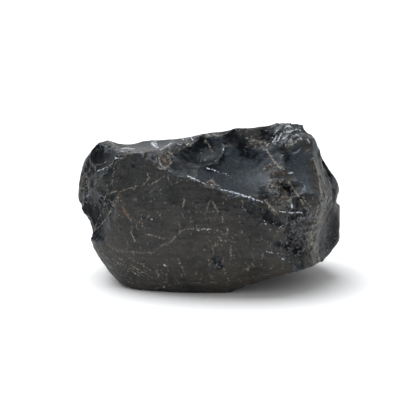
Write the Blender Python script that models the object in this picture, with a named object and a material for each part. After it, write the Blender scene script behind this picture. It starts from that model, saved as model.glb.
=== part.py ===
# Obsidian chunk: one weathered block of volcanic glass with flakes struck off it.
# +Z is up and the broad weathered face looks along -Y. The origin is on the
# surface that the chunk rests on, under the middle of its bounding box.

import math

import bmesh
import bpy
from mathutils import Matrix, Vector

MM = 0.001

# Driving dimensions, in millimetres. The block's corners span the chunk's size.
FACE_SIZE = 5.5
ROUNDING_STEPS = 11
ROUNDING_STRENGTH = 0.5
REST_LEVEL = 0.0
FLOOR_CUT_SIZE = (300, 300, 40)
SMALL_BOWL_RADIUS = 20
LARGE_BOWL_RADIUS = 60
KEPT_FACES = 0.9

# Corners of the block before anything is struck off: (x, y, z) in millimetres.
FOOT = [
    (-36, -30, -5), (-8, -34, -5), (14, -32, -5), (30, -20, -5),
    (32, 22, -5), (8, 38, -5), (-28, 38, -5), (-46, 20, -5), (-46, -14, -5),
]
LOWER_FLANK = [
    (-48, -27, 2), (-57, -22, 8), (-66, -12, 20), (-62, 32, 10), (-30, 54, 14),
    (24, -35, 4), (44, -38, 10), (62, -32, 12), (70, -16, 14), (77, 0, 18),
    (64, 32, 14), (25, 54, 12),
]
BELT = [
    (-68, -24, 32), (-76.5, -2, 46), (-75, 2, 58), (-70, 32, 40), (-56, 54, 46),
    (-40, -41, 26), (-40, -44, 44), (-22, -48, 36), (-4, -49, 24), (-4, -52, 46),
    (14, -53, 35), (30, -51, 26), (62, -43, 36), (77, 0, 26), (77, 4, 54),
    (74, 36, 44), (46, 58, 44), (0, 62, 46),
]
SHOULDER = [
    (-64, -28, 62), (-56, -38, 78), (-24, -44, 78), (-12, -48, 68), (30, -52, 58),
    (54, -46, 56), (64, -24, 74), (72, 2, 66), (64, 32, 66), (40, 50, 68),
    (-10, 54, 70), (-50, 46, 66), (-70, 12, 72),
]
CROWN = [
    (-65, -8, 77), (-58, -14, 88), (-34, -20, 90), (-20, -20, 90), (6, -20, 94),
    (34, -20, 97), (54, -16, 98), (62, -14, 88), (54, 20, 90), (-50, 20, 82),
    (0, 30, 86),
]

# Every large flake struck off: a point on the bowl it left, which way the bowl
# faces there, the radii of the bowl along and across it, and how many degrees
# its long way is turned about the way it faces.
FLAKES = {
    "crown_left": ((-40, -14, 77.0), (0.0, 0.0, 1.0), (90, 120), 0),
    "crown_left_back": ((-38, 20, 70.0), (-0.1, 0.40, 0.9), (160, 120), 0),
    "crown_corner": ((-61.5, 6, 74.6), (-0.66, 0.10, 0.74), (60, 60), 0),
    "crown_back": ((14, 10, 80.8), (-0.135, 0.25, 0.96), (400, 200), 0),
    "crown_peak": ((42, 0, 88.6), (0.02, 0.22, 0.97), (200, 200), 0),
    "brow_left": ((-38, -38.6, 66), (-0.27, -0.93, 0.25), (300, 220), 0),
    "brow_middle": ((-20, -32.8, 74.8), (0.25, -0.50, 0.83), (46, 60), 0),
    "left_glossy": ((-61.8, -15.8, 69.0), (-0.59, -0.54, 0.60), (40, 28), 0),
    "front_bowl": ((16.2, -27.1, 67.8), (0.24, -0.63, 0.74), (80, 40), 0),
    "dark_scoop": ((-4, -15.5, 77.5), (0.05, -0.80, 0.60), (18, 17), 0),
    "right_bowl": ((58, -24.5, 63.5), (-0.05, -0.71, 0.70), (60, 30), 118),
    "ridge_face": ((42, -11.8, 81.2), (0.05, -0.66, 0.75), (60, 80), 0),
    "right_upper": ((62.3, -14.6, 63.2), (0.87, -0.28, 0.40), (120, 70), 90),
    "right_shoulder": ((66.2, 4.1, 67.8), (0.86, 0.10, 0.5), (300, 300), 0),
    "right_lower": ((62, -20.3, 28), (0.88, -0.47, -0.08), (80, 60), 90),
    "corner_bite": ((56, -5, 82.4), (0.38, -0.05, 0.92), (22, 9), 90),
    "left_rough": ((-60.8, -22.8, 49.0), (-0.72, -0.60, -0.35), (32, 26), 0),
    "left_under": ((-68.6, 4.3, 37.5), (-0.90, -0.12, -0.42), (80, 50), 0),
    "lower_right": ((54, -32, 34), (0.42, -0.86, -0.28), (34, 24), 0),
    "under_right": ((60, -14, 12.4), (0.0, -0.15, -0.98), (87, 100), 0),
    "under_corner": ((68.5, -8, 15.0), (0.70, -0.12, -0.70), (90, 60), 0),
    "back_left": ((-50, 34, 50), (-0.62, 0.72, 0.3), (90, 60), 0),
    "back_right": ((50, 38, 54), (0.55, 0.78, 0.3), (110, 70), 0),
    "back_middle": ((-4, 50, 40), (0.02, 1.0, 0.05), (120, 80), 0),
    "back_low": ((14, 42, 12), (0.12, 0.74, -0.66), (90, 60), 0),
    "left_back": ((-68.5, 14, 38), (-0.9, 0.25, -0.3), (90, 60), 90),
    "right_back": ((71, 16, 38), (0.9, 0.42, 0.05), (90, 60), 90),
}

# Small flakes off the edges, area by area: a point on the edge, which way the
# chip faces, how deep it cuts into the edge, the radii of its bowl along and
# across it, and its turn in degrees.
CHIPS = {
    "ledge": [
        ((-44.5, -34, 78.5), (-0.2, -0.5, 0.84), 1.6, (14, 9), 0),
        ((-28.4, -32, 79), (0.2, -0.3, 0.94), 2.0, (16, 10), 0),
        ((-20.7, -24.2, 79.6), (0.35, -0.2, 0.92), 2.2, (14, 10), 0),
    ],
    "crest": [
        ((-13.8, -15.8, 81), (0.1, -0.5, 0.87), 1.8, (16, 10), 0),
        ((5.5, -12, 86.4), (0.0, -0.3, 0.95), 1.5, (12, 8), 0),
        ((25, -10, 87.7), (0.1, -0.2, 0.97), 1.4, (12, 8), 0),
        ((34.5, -6.4, 87.7), (0.0, -0.2, 0.98), 1.8, (10, 8), 0),
        ((44, -6.5, 88), (0.0, -0.3, 0.95), 1.2, (12, 8), 0),
    ],
    "rim": [
        ((-9.3, -47.1, 66.9), (0.0, -0.71, 0.70), 0.9, (12, 8), 0),
        ((-0.9, -48.7, 63.6), (0.2, -0.70, 0.69), 1.3, (12, 8), 0),
        ((7.9, -49.9, 60.1), (0.13, -0.68, 0.72), 0.9, (14, 9), 0),
        ((14.0, -50.4, 58.6), (0.1, -0.65, 0.75), 1.1, (10, 8), 0),
        ((24.1, -50.5, 57.6), (0.05, -0.62, 0.78), 1.4, (14, 9), 0),
    ],
    "crumble": [
        ((35, -50, 52.6), (0.1, -0.75, 0.65), 3.2, (16, 12), 20),
        ((42, -44.5, 54.5), (0.15, -0.6, 0.8), 3.2, (14, 10), -20),
        ((42.4, -40, 56), (0.2, -0.45, 0.87), 1.8, (12, 9), 80),
        ((42.8, -34.6, 58.6), (0.1, -0.5, 0.85), 2.2, (12, 9), 60),
        ((43, -28.9, 62.5), (0.1, -0.65, 0.75), 1.8, (10, 8), 0),
        ((50, -45, 51.5), (0.1, -0.8, 0.6), 2.4, (14, 10), 0),
    ],
    "ridge": [
        ((29.5, -16.5, 80), (0.2, -0.75, 0.62), 2.0, (14, 9), 0),
        ((34.6, -16.5, 78.5), (0.1, -0.78, 0.62), 1.8, (10, 8), 40),
        ((39.6, -16.8, 77.5), (0.0, -0.77, 0.63), 2.2, (12, 8), 0),
        ((44.4, -17.2, 76.8), (0.0, -0.78, 0.63), 1.8, (10, 8), -30),
        ((51.9, -14.6, 79.3), (0.1, -0.8, 0.6), 2.0, (12, 8), 0),
        ((50.5, -7, 86.1), (0.42, -0.31, 0.86), 1.8, (10, 8), 0),
    ],
    "spine": [
        ((56.5, -12, 79), (0.55, -0.6, 0.55), 1.4, (22, 9), 100),
        ((57, -20, 69), (0.5, -0.7, 0.5), 1.8, (26, 10), 95),
        ((59.3, -27, 61.2), (0.48, -0.6, 0.6), 2.0, (24, 10), 95),
        ((58.6, -41.2, 47.5), (0.6, -0.75, 0.1), 6.0, (20, 14), 80),
        ((58.9, -32.2, 38.6), (0.68, -0.68, -0.2), 1.8, (18, 9), 85),
        ((57.7, -29.7, 24), (0.68, -0.73, 0.0), 1.6, (20, 9), 90),
        ((73.4, -8.1, 40.5), (0.86, -0.5, 0.0), 1.4, (12, 9), 0),
    ],
    "left_edge": [
        ((-68.4, -10.7, 64.6), (-0.7, -0.5, 0.5), 1.6, (14, 9), 0),
        ((-72.4, -8.6, 49.7), (-0.78, -0.62, -0.09), 1.6, (12, 9), 60),
        ((-69.1, -14.6, 57.9), (-0.81, -0.57, 0.0), 1.8, (14, 9), 30),
        ((-53.6, -35.1, 45.3), (-0.7, -0.7, -0.1), 2.6, (14, 7), 80),
    ],
    "lower_right": [
        ((45.2, -47.5, 43.1), (0.4, -0.85, -0.3), 2.4, (16, 11), 30),
        ((58.4, -29.8, 31.8), (0.69, -0.7, -0.18), 1.6, (14, 9), 90),
        ((44.3, -41, 17.6), (0.5, -0.85, 0.0), 2.0, (16, 10), 30),
        ((57, -31.8, 17.8), (0.6, -0.7, 0.1), 2.4, (12, 9), 0),
        ((38.7, -48.5, 33.4), (0.5, -0.85, -0.2), 2.2, (18, 10), 80),
    ],
    "lower_front": [
        ((14.2, -36.8, 2.8), (0.27, -0.6, -0.75), 1.0, (14, 9), 10),
        ((-27.4, -32.4, 0.3), (-0.15, -0.75, -0.65), 0.8, (18, 9), 0),
    ],
    "back": [
        ((-5.8, 53.3, 67), (-0.2, 0.84, 0.49), 4.0, (30, 18), 10),
        ((-31.6, 54.4, 53.7), (-0.38, 0.92, 0.09), 2.6, (24, 14), 70),
        ((23, 55.2, 23.7), (-0.12, 0.92, -0.38), 2.6, (26, 15), 0),
        ((-58.8, 24.1, 67.6), (-0.31, 0.76, 0.57), 3.0, (24, 14), 40),
        ((31.6, 55.2, 52.8), (0.27, 0.96, 0.12), 2.4, (20, 13), 110),
        ((-66.8, 31.7, 34), (-0.84, 0.44, 0.33), 2.4, (22, 13), 90),
        ((64.5, 26.6, 66), (0.75, 0.55, 0.37), 2.6, (20, 13), 20),
        ((65.6, 36.6, 38.9), (0.8, 0.5, 0.33), 2.2, (18, 12), 100),
        ((52.6, 27.2, 81.2), (0.16, 0.44, 0.89), 2.2, (20, 13), 0),
        ((-64.5, 8.6, 75.2), (-0.35, 0.39, 0.85), 2.2, (18, 12), 60),
        ((-50.5, 48, 30), (-0.62, 0.77, 0.18), 2.6, (24, 14), 80),
    ],
}

KNOB_PLACE = (-22.4, -31.2, 73.6)
KNOB_FACING = (0.3, -0.65, 0.7)
KNOB_SIZE = (10, 8, 3.4)


def solid_material(name, colour, roughness):
    material = bpy.data.materials.new(name)
    material.use_nodes = True
    shader = material.node_tree.nodes["Principled BSDF"]
    shader.inputs["Base Color"].default_value = (*colour, 1.0)
    shader.inputs["Roughness"].default_value = roughness
    shader.inputs["Metallic"].default_value = 0.0
    return material


def mesh_object(name, shape):
    """An object from a finished bmesh, in the scene."""
    mesh = bpy.data.meshes.new(name)
    shape.to_mesh(mesh)
    shape.free()
    made = bpy.data.objects.new(name, mesh)
    bpy.context.scene.collection.objects.link(made)
    return made


def as_tool(helper):
    """Marks an object that shapes the chunk and isn't part of it."""
    helper.hide_render = True
    helper.display_type = "WIRE"
    return helper


def weathered_block(name):
    """The block as the ground left it: the hull of its corners, worn round."""
    shape = bmesh.new()
    for corners in (FOOT, LOWER_FLANK, BELT, SHOULDER, CROWN):
        for corner in corners:
            shape.verts.new(Vector(corner) * MM)
    hull = bmesh.ops.convex_hull(shape, input=shape.verts)
    buried = [item for item in hull["geom_interior"] if isinstance(item, bmesh.types.BMVert)]
    bmesh.ops.delete(shape, geom=buried, context="VERTS")
    bmesh.ops.recalc_face_normals(shape, faces=shape.faces)
    block = mesh_object(name, shape)
    even = block.modifiers.new("even_faces", "REMESH")
    even.mode = "VOXEL"
    even.voxel_size = FACE_SIZE * MM
    worn = block.modifiers.new("worn_round", "SMOOTH")
    worn.factor = ROUNDING_STRENGTH
    worn.iterations = ROUNDING_STEPS
    return block


def turned_to(facing, turn):
    """A turn of the Z axis to the way that a bowl faces, after a spin about it."""
    spin = Matrix.Rotation(math.radians(turn), 4, "Z")
    return Vector(facing).to_track_quat("Z", "Y").to_matrix().to_4x4() @ spin


def bowl_fineness(radius):
    """More faces on a wider bowl, so that they all come out about one size."""
    if radius < SMALL_BOWL_RADIUS:
        return 3
    return 4 if radius < LARGE_BOWL_RADIUS else 5


def flake_tool(name, place, facing, radii, turn):
    """An ellipsoid whose underside is the bowl that a struck flake leaves."""
    along, across = radii
    shape = bmesh.new()
    fineness = bowl_fineness(across)
    bmesh.ops.create_icosphere(shape, subdivisions=fineness, radius=across * MM)
    stretch = Matrix.Scale(math.sqrt(along / across), 4, Vector((1, 0, 0)))
    bmesh.ops.transform(shape, matrix=turned_to(facing, turn) @ stretch, verts=shape.verts)
    tool = mesh_object(name, shape)
    tool.location = (Vector(place) + Vector(facing).normalized() * across) * MM
    return as_tool(tool)


def chip_tool(name, place, facing, depth, radii, turn):
    """The same for a chip, which cuts some way into the edge that it breaks."""
    deepest = Vector(place) - Vector(facing).normalized() * depth
    return flake_tool(name, deepest, facing, radii, turn)


def floor_tool(name):
    """A slab up to the rest level, which cuts the flat that the chunk stands on."""
    shape = bmesh.new()
    bmesh.ops.create_cube(shape, size=MM)
    bmesh.ops.scale(shape, vec=FLOOR_CUT_SIZE, verts=shape.verts)
    middle = REST_LEVEL - FLOOR_CUT_SIZE[2] / 2
    bmesh.ops.translate(shape, vec=(0, 0, middle * MM), verts=shape.verts)
    return as_tool(mesh_object(name, shape))


def knob_tool(name):
    """A flat lump that stays proud of the flake under it."""
    length, width, height = KNOB_SIZE
    shape = bmesh.new()
    bmesh.ops.create_icosphere(shape, subdivisions=3, radius=MM / 2)
    bmesh.ops.scale(shape, vec=(length, width, height), verts=shape.verts)
    bmesh.ops.transform(shape, matrix=turned_to(KNOB_FACING, 0), verts=shape.verts)
    tool = mesh_object(name, shape)
    tool.location = Vector(KNOB_PLACE) * MM
    return as_tool(tool)


def shape_with(block, tool, operation="DIFFERENCE"):
    step = block.modifiers.new(tool.name, "BOOLEAN")
    step.operation = operation
    step.object = tool


def simplify(block):
    """Drops the faces that the shape can do without."""
    fewer = block.modifiers.new("fewer_faces", "DECIMATE")
    fewer.ratio = KEPT_FACES


def strike_flakes(block):
    for name, (place, facing, radii, turn) in FLAKES.items():
        shape_with(block, flake_tool("flake_" + name, place, facing, radii, turn))


def strike_chips(block):
    for area, chips in CHIPS.items():
        for number, chip in enumerate(chips, 1):
            shape_with(block, chip_tool(f"chip_{area}_{number}", *chip))


def centre_over_origin(block):
    """Moves the chunk and its tools so that the origin is under its middle."""
    finished = block.evaluated_get(bpy.context.evaluated_depsgraph_get())
    corners = [Vector(corner) for corner in finished.bound_box]
    middle = (corners[0] + corners[6]) / 2
    for thing in bpy.data.objects:
        thing.location -= Vector((middle.x, middle.y, 0.0))
    bpy.context.view_layer.update()


def main():
    for thing in list(bpy.data.objects):
        bpy.data.objects.remove(thing)
    chunk = weathered_block("obsidian_chunk")
    chunk.data.materials.append(solid_material("obsidian", (0.035, 0.034, 0.033), 0.4))
    shape_with(chunk, floor_tool("floor_cut"))
    strike_flakes(chunk)
    shape_with(chunk, knob_tool("knob"), "UNION")
    strike_chips(chunk)
    simplify(chunk)
    centre_over_origin(chunk)
    return chunk


main()
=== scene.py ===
import math
import random

import bmesh
import bpy
import numpy as np
from mathutils import Matrix, Vector, noise


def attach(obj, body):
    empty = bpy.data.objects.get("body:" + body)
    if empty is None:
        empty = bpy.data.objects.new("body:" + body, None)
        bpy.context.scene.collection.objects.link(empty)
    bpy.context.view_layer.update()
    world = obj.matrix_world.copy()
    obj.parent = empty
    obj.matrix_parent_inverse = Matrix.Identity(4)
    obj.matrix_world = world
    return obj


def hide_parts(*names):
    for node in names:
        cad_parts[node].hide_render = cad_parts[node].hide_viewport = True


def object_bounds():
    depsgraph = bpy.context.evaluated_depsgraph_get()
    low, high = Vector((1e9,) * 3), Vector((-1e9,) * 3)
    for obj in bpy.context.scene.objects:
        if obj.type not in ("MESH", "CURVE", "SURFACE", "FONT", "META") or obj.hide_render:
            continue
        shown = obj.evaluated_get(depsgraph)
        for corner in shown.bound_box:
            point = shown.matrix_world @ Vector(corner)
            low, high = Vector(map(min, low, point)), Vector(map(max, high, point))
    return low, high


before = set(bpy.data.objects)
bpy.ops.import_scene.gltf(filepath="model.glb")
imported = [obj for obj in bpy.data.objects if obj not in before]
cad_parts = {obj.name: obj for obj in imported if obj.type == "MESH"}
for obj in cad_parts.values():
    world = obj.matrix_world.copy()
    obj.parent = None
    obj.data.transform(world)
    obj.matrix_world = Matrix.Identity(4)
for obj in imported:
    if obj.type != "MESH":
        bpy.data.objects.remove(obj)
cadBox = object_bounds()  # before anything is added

mm = 0.001


def namedRows(columns, rows):
    # a table whose rows are dictionaries
    return {name: dict(zip(columns, row)) for name, row in rows.items()}


def addUp(rows, slots, count):
    # the sum of the rows that share a slot
    return np.stack([np.bincount(slots, rows[:, axis], count) for axis in range(3)], 1)


def unit(rows):
    return rows / np.maximum(np.linalg.norm(rows, axis=1, keepdims=True), 1e-12)


def ramp(values, low, high):
    # 0 below low, 1 above high, an easy curve between
    part = np.clip((values - low) / (high - low), 0, 1)
    return part * part * (3 - 2 * part)


def read(items, field, width=1, kind=np.float32):
    flat = np.empty(len(items) * width, kind)
    items.foreach_get(field, flat)
    return flat.reshape(-1, width) if width > 1 else flat


def placesOf(mesh):
    return read(mesh.vertices, "co", 3).astype(float) / mm


def setPlaces(mesh, places):
    mesh.vertices.foreach_set("co", (places * mm).astype(np.float32).ravel())
    mesh.update()


def facingOf(mesh):
    return read(mesh.vertex_normals, "vector", 3).astype(float)


def setPaint(mesh, name, values):
    layer = mesh.attributes.get(name) or mesh.attributes.new(name, "FLOAT", "POINT")
    layer.data.foreach_set("value", np.clip(values, 0, 1).astype(np.float32))


def noiseAt(places, size, seed, octaves=3, rough=0.5):
    # soft noise from about -1 to 1, with lumps of the given size in mm (one number, or one for each axis)
    spots = places / np.asarray(size, float) + seed * 17.3
    return np.array([noise.fractal(Vector(spot), rough, 2.0, octaves) for spot in spots.tolist()])


def cellsAt(places, size, seed):
    # broken cells: how far it is to the nearest crack, and one chance value for each cell
    spots = (places / np.asarray(size, float) + seed * 31.7).tolist()
    crack = np.empty(len(spots))
    chance = np.empty(len(spots))
    for index, spot in enumerate(spots):
        near, points = noise.voronoi(Vector(spot))
        crack[index] = near[1] - near[0]
        chance[index] = noise.cell(points[0] * 7.77)
    return crack, chance


# the chunk's mesh
chunk = {
    "roughGrain": 0.8,        # mm between points while large chips are struck
    "grain": 0.66,            # mm between points after that
    "roughSettle": (40, 25),  # passes over the facings, then over the places
    "settle": (6, 8),
    "crispness": 0.965,       # faces that turn less than this cosine run smoothly into each other
    "calmFoot": 1.2,          # mm above the ground before the relief is full
    "glassCalm": 0.8,         # how much of the rind's relief is gone on fresh glass
    "inset": 0.001,           # mm that the piece stays inside the solid's box
    "mostFaces": 196000,      # triangles left in the finished piece
    "seed": 7,
}


def pieceFrom(shape, name):
    mesh = bpy.data.meshes.new(name)
    shape.to_mesh(mesh)
    shape.free()
    made = bpy.data.objects.new(name, mesh)
    bpy.context.scene.collection.objects.link(made)
    return made


def copiedSolid(node, name):
    shape = bmesh.new()
    shape.from_mesh(node.data)
    bmesh.ops.remove_doubles(shape, verts=shape.verts, dist=0.01 * mm)
    return pieceFrom(shape, name)


def applyModifiers(piece):
    bpy.context.view_layer.update()
    shown = piece.evaluated_get(bpy.context.evaluated_depsgraph_get())
    finished = bpy.data.meshes.new_from_object(shown)
    piece.modifiers.clear()
    rough = piece.data
    piece.data = finished
    bpy.data.meshes.remove(rough)
    finished.name = piece.name


def evenMesh(piece, grain):
    even = piece.modifiers.new("even", "REMESH")
    even.mode = "VOXEL"
    even.voxel_size = grain * mm
    applyModifiers(piece)
    print("even mesh:", len(piece.data.polygons), "faces")


def fewerFaces(piece):
    fewer = piece.modifiers.new("fewer", "DECIMATE")
    fewer.ratio = chunk["mostFaces"] / (2 * len(piece.data.polygons))
    fewer.use_collapse_triangulate = True
    applyModifiers(piece)


def settleFacets(piece, passes):
    # evens out small flats and leaves the rims crisp
    facingPasses, placePasses = passes
    mesh = piece.data
    places = placesOf(mesh)
    edges = read(mesh.loops, "edge_index", kind=np.int32)
    corners = read(mesh.loops, "vertex_index", kind=np.int32)
    sizes = read(mesh.polygons, "loop_total", kind=np.int32)
    owner = np.repeat(np.arange(len(sizes)), sizes)
    order = np.argsort(edges, kind="stable")
    uses = np.bincount(edges, minlength=len(mesh.edges))
    a, b = owner[order[np.repeat(uses == 2, uses)]].reshape(-1, 2).T
    facing = read(mesh.polygons, "normal", 3).astype(float)
    for _ in range(facingPasses):
        alike = np.clip((facing[a] * facing[b]).sum(1) - chunk["crispness"], 0, None)
        alike = (alike / (1 - chunk["crispness"]))[:, None] ** 2
        shared = addUp(facing[b] * alike, a, len(sizes)) + addUp(facing[a] * alike, b, len(sizes))
        facing = unit(facing + shared)
    touching = np.bincount(corners, minlength=len(places))[:, None]
    for _ in range(placePasses):
        centre = addUp(places[corners], owner, len(sizes)) / sizes[:, None]
        lift = ((centre[owner] - places[corners]) * facing[owner]).sum(1, keepdims=True)
        places += addUp(facing[owner] * lift, corners, len(places)) / touching
    setPlaces(mesh, places)


def softened(values, ends, degree, passes):
    # values spread to their neighbours along the mesh edges
    a, b = ends
    for _ in range(passes):
        if values.ndim == 1:
            total = np.bincount(a, values[b], len(values)) + np.bincount(b, values[a], len(values))
            values = (values + total / degree) / 2
        else:
            total = addUp(values[b], a, len(values)) + addUp(values[a], b, len(values))
            values = (values + total / degree[:, None]) / 2
    return values


def meshLinks(mesh):
    ends = read(mesh.edges, "vertices", 2, np.int32).T
    degree = np.bincount(ends.ravel(), minlength=len(mesh.vertices)).astype(float)
    return ends, degree


# Flake scars: the large bowls of the solid, and how each one broke. A bowl has a place, a facing, bends along and
# across, and a turn; strike is where the blow fell. The places are the block's own before it was centred by shift.
shift = np.array((-1.107, -2.32, 0.0))
scarParts = ("place", "facing", "bends", "turn", "strike", "ripple", "spacing", "hackle", "glass", "gloss", "sheen")
scars = namedRows(scarParts, {
    "ledge": ((-40, -14, 77), (0, 0, 1), (90, 120), 0, (-28, -34, 80), 0.1, 5, 0.06, 1, 0.75, 0.75),
    "ledgeBack": ((-38, 20, 70), (-0.1, 0.4, 0.9), (160, 120), 0, (-66, 22, 70), 0.1, 7, 0.05, 1, 0.4, 1),
    "crownBack": ((14, 10, 80.8), (-0.135, 0.25, 0.96), (400, 200), 0, (40, -8, 88), 0.14, 8, 0.05, 0.7, 0.3, 1),
    "crownPeak": ((42, 0, 88.6), (0.02, 0.22, 0.97), (200, 200), 0, (30, -10, 90), 0.12, 7, 0.06, 0.8, 0.4, 1),
    "crownCorner": ((-61.5, 6, 74.6), (-0.66, 0.1, 0.74), (60, 60), 0, (-56, -8, 80), 0.12, 4.5, 0.08, 1, 0.6, 1),
    "brow": ((-38, -38.6, 66), (-0.27, -0.93, 0.25), (300, 220), 0, (-30, -34, 82), 0.05, 7, 0.04, 0.15, 0, 1),
    "browMiddle": ((-20, -32.8, 74.8), (0.25, -0.5, 0.83), (46, 60), 0, (-22, -22, 82), 0.04, 4, 0.05, 0.6, 0, 0.35),
    "leftGlossy": ((-61.8, -15.8, 69), (-0.59, -0.54, 0.6), (40, 28), 0, (-50, -30, 80), 0.16, 4.2, 0.1, 1, 1, 0.28),
    "frontBowl": ((16.2, -27.1, 67.8), (0.24, -0.63, 0.74), (80, 40), 0, (18, -12, 90), 0.06, 5.5, 0.06, 1, 0.1, 0.6),
    "scoop": ((-4, -15.5, 77.5), (0.05, -0.8, 0.6), (18, 17), 0, (-6, -12, 84), 0.07, 3, 0.2, 1, 0.4, 0.5),
    "rightBowl": ((58, -24.5, 63.5), (-0.05, -0.71, 0.7), (60, 30), 118, (50, -12, 82), 0.04, 5, 0.05, 1, 0.2, 0.8),
    "ridgeFace": ((42, -11.8, 81.2), (0.05, -0.66, 0.75), (60, 80), 0, (44, -8, 90), 0.06, 3.5, 0.12, 0.9, 0.4, 0.8),
    "rightUpper": ((62.3, -14.6, 63.2), (0.87, -0.28, 0.4), (120, 70), 90, (56, -10, 84), 0.05, 5, 0.12, 1, 0.3, 0.7),
    "rightShoulder": ((66.2, 4.1, 67.8), (0.86, 0.1, 0.5), (300, 300), 0, (60, -6, 84), 0.14, 7, 0.08, 0.8, 0.4, 1),
    "rightLower": ((62, -20.3, 28), (0.88, -0.47, -0.08), (80, 60), 90, (66, -22, 48), 0.03, 5, 0.06, 0.45, 0.1, 0.2),
    "cornerBite": ((56, -5, 82.4), (0.38, -0.05, 0.92), (22, 9), 90, (56, -12, 84), 0.08, 3, 0.08, 1, 0.6, 1),
    "leftRough": ((-60.8, -22.8, 49), (-0.72, -0.6, -0.35), (32, 26), 0, (-53, -36, 50), 0.1, 4, 0.34, 0.6, 0.1, 0.12),
    "leftUnder": ((-68.6, 4.3, 37.5), (-0.9, -0.12, -0.42), (80, 50), 0, (-70, -6, 56), 0.12, 5, 0.12, 0.9, 0.35, 0.35),
    "lowerRight": ((54, -32, 34), (0.42, -0.86, -0.28), (34, 24), 0, (52, -48, 46), 0.06, 3.6, 0.2, 0.4, 0.15, 0.4),
    "underRight": ((60, -14, 12.4), (0, -0.15, -0.98), (87, 100), 0, (60, -34, 16), 0.14, 7, 0.06, 0.4, 0.1, 1),
    "underCorner": ((68.5, -8, 15), (0.7, -0.12, -0.7), (90, 60), 0, (72, -20, 20), 0.12, 6, 0.08, 0.6, 0.2, 0.5),
    "backLeft": ((-50, 34, 50), (-0.62, 0.72, 0.3), (90, 60), 0, (-56, 28, 74), 0.1, 6, 0.1, 1, 0.45, 1),
    "backRight": ((50, 38, 54), (0.55, 0.78, 0.3), (110, 70), 0, (48, 30, 80), 0.1, 6.5, 0.1, 0.9, 0.35, 1),
    "backMiddle": ((-4, 50, 40), (0.02, 1, 0.05), (120, 80), 0, (-10, 52, 68), 0.12, 7, 0.06, 0.35, 0.1, 1),
    "backLow": ((14, 42, 12), (0.12, 0.74, -0.66), (90, 60), 0, (14, 54, 24), 0.12, 6, 0.06, 0.3, 0.1, 1),
    "leftBack": ((-68.5, 14, 38), (-0.9, 0.25, -0.3), (90, 60), 90, (-72, 6, 62), 0.14, 6, 0.1, 0.8, 0.3, 1),
    "rightBack": ((71, 16, 38), (0.9, 0.42, 0.05), (90, 60), 90, (70, 12, 60), 0.1, 6, 0.1, 1, 0.4, 1),
})
scarReach = 0.7     # mm, how far from its bowl a point may be and still belong to the scar
scarCosine = 0.97   # a point that turns further than this from its bowl counts as further off
breakLook = {"drift": 0.9, "driftSize": 22, "fadeSize": 30, "fan": 9, "fanLength": 40, "hackleFrom": (3, 30)}


def bowlDistance(places, scar):
    # how far each point is from the bowl's surface, and which way the bowl faces there
    along, across = scar["bends"]
    turn = Matrix.Rotation(math.radians(scar["turn"]), 3, "Z")
    axes = np.array(Vector(scar["facing"]).to_track_quat("Z", "Y").to_matrix() @ turn)
    toward = unit(np.array([scar["facing"]], float))[0]
    stretch = np.array((math.sqrt(along / across), 1, 1))
    local = (places - shift - np.array(scar["place"], float) - toward * across) @ axes / stretch
    reach = np.linalg.norm(local, axis=1)
    return reach - across, unit(-(local / reach[:, None] / stretch) @ axes.T)


def scarOf(places, facing):
    # the number of the scar that each point lies on, or -1
    nearest = np.full(len(places), scarReach)
    owner = np.full(len(places), -1)
    for number, scar in enumerate(scars.values()):
        gap, toward = bowlDistance(places, scar)
        gap = np.abs(gap) + 2.5 * np.clip(scarCosine - (toward * facing).sum(1), 0, None)
        closer = gap < nearest
        nearest[closer] = gap[closer]
        owner[closer] = number
    return owner


def breakRelief(places, owner, links):
    # ripples run round the blow, hackles run away from it
    lift = np.zeros(len(places))
    for number, scar in enumerate(scars.values()):
        part = softened((owner == number).astype(float), *links, 3)
        here = part > 0.02
        if not here.any():
            continue
        facing = Vector(scar["facing"]).normalized()
        axes = np.array(facing.to_track_quat("Z", "Y").to_matrix())
        away = (places[here] - shift - np.array(scar["strike"], float)) @ axes
        reach = np.linalg.norm(away, axis=1)
        angle = np.arctan2(away[:, 1], away[:, 0])
        drift = breakLook["drift"] * noiseAt(places[here], breakLook["driftSize"], number + 1, 2)
        wave = np.sin(2 * math.pi * (reach / scar["spacing"] + drift) - 0.6)
        wave = np.sign(wave) * np.abs(wave) ** 1.4
        strength = 0.35 + 0.65 * ramp(noiseAt(places[here], breakLook["fadeSize"], number + 40, 2), -0.3, 0.4)
        fan = (angle * breakLook["fan"], reach / breakLook["fanLength"], np.full(len(reach), number * 3.1))
        hackle = noiseAt(np.stack(fan, 1), 1, number + 80, 4, 0.35) * ramp(reach, *breakLook["hackleFrom"])
        lift[here] += part[here] * (scar["ripple"] * wave * strength + scar["hackle"] * hackle)
    return lift


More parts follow.
